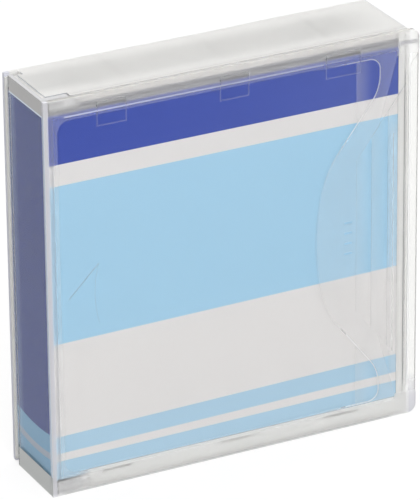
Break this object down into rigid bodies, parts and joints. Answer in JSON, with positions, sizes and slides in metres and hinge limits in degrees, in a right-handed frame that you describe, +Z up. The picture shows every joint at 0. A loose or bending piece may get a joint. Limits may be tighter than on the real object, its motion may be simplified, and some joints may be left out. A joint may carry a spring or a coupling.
{
  "type": "data tape cartridge in its hinged clear storage case",
  "caption": "Single-reel data tape cartridge in a clear hinged storage case with a folded inlay card behind the lid.",
  "frame": {"origin": "middle of the case's foot, on the surface that it stands on", "axes": "+Z up with the case standing on its long edge, the lid's pane towards -Y, the spine and hinge towards -X"},
  "size_m": [0.11, 0.025, 0.113],
  "materials": {
    "clear_case": "clear moulded plastic, slightly milky, glossy",
    "printed_card": "coated printed card in blue and white bands",
    "cartridge_shell": "fine-textured moulded plastic",
    "plain_steel": "plain steel",
    "spring_steel": "drawn wire",
    "reel_plastic": "smooth pale plastic",
    "recording_tape": "dark coated film",
    "small_plastic": "plain natural plastic",
    "switch_plastic": "coloured plastic",
    "circuit_board": "lacquered board"
  },
  "bodies": {
    "case": {"case_tray": "clear_case", "upper_shell": "cartridge_shell", "lower_shell": "cartridge_shell", "case_screws": "plain_steel", "leader_pin": "plain_steel", "leader_pin_clamp": "small_plastic", "leader_pin_clip": "spring_steel", "tape_leader": "recording_tape", "memory_chip": "circuit_board", "brake_spring": "spring_steel", "door_spring": "spring_steel"},
    "lid": {"case_lid": "clear_case", "inlay_card": "printed_card"},
    "door": {"access_door": "cartridge_shell"},
    "protect_tab": {"write_protect_tab": "switch_plastic"},
    "reel": {"reel_hub": "reel_plastic", "reel_upper_flange": "reel_plastic", "tape_pack": "recording_tape", "chucking_plate": "plain_steel"},
    "pad": {"release_pad": "small_plastic"},
    "brake": {"brake_button": "small_plastic"}
  },
  "joints": [
    {"name": "lid_hinge", "type": "hinge", "parent": "case", "child": "lid", "pos_m": [-0.0526, 0.0079, 0.0565], "axis": [0, 0, -1], "range_deg": [0, 90]},
    {"name": "door_slide", "type": "slide", "parent": "case", "child": "door", "axis": [1, 0, 0], "range_m": [0, 0.011], "stiffness_N_per_m": 25, "springref_m": -0.012, "deforming": ["door_spring"]},
    {"name": "protect_tab_slide", "type": "slide", "parent": "case", "child": "protect_tab", "axis": [0, 0, 1], "range_m": [0, 0.004]},
    {"name": "reel_spin", "type": "hinge", "parent": "case", "child": "reel", "pos_m": [-0.0001, 0, 0.0563], "axis": [0, 1, 0], "continuous": true},
    {"name": "pad_lift", "type": "slide", "parent": "reel", "child": "pad", "axis": [0, -1, 0], "range_m": [0, 0.0018], "stiffness_N_per_m": 400, "springref_m": -0.004},
    {"name": "brake_lift", "type": "slide", "parent": "case", "child": "brake", "axis": [0, -1, 0], "range_m": [0, 0.0018], "deforming": ["brake_spring"]}
  ],
  "couplings": [
    {"joint": "brake_lift", "follows": "pad_lift", "ratio": 1}
  ]
}
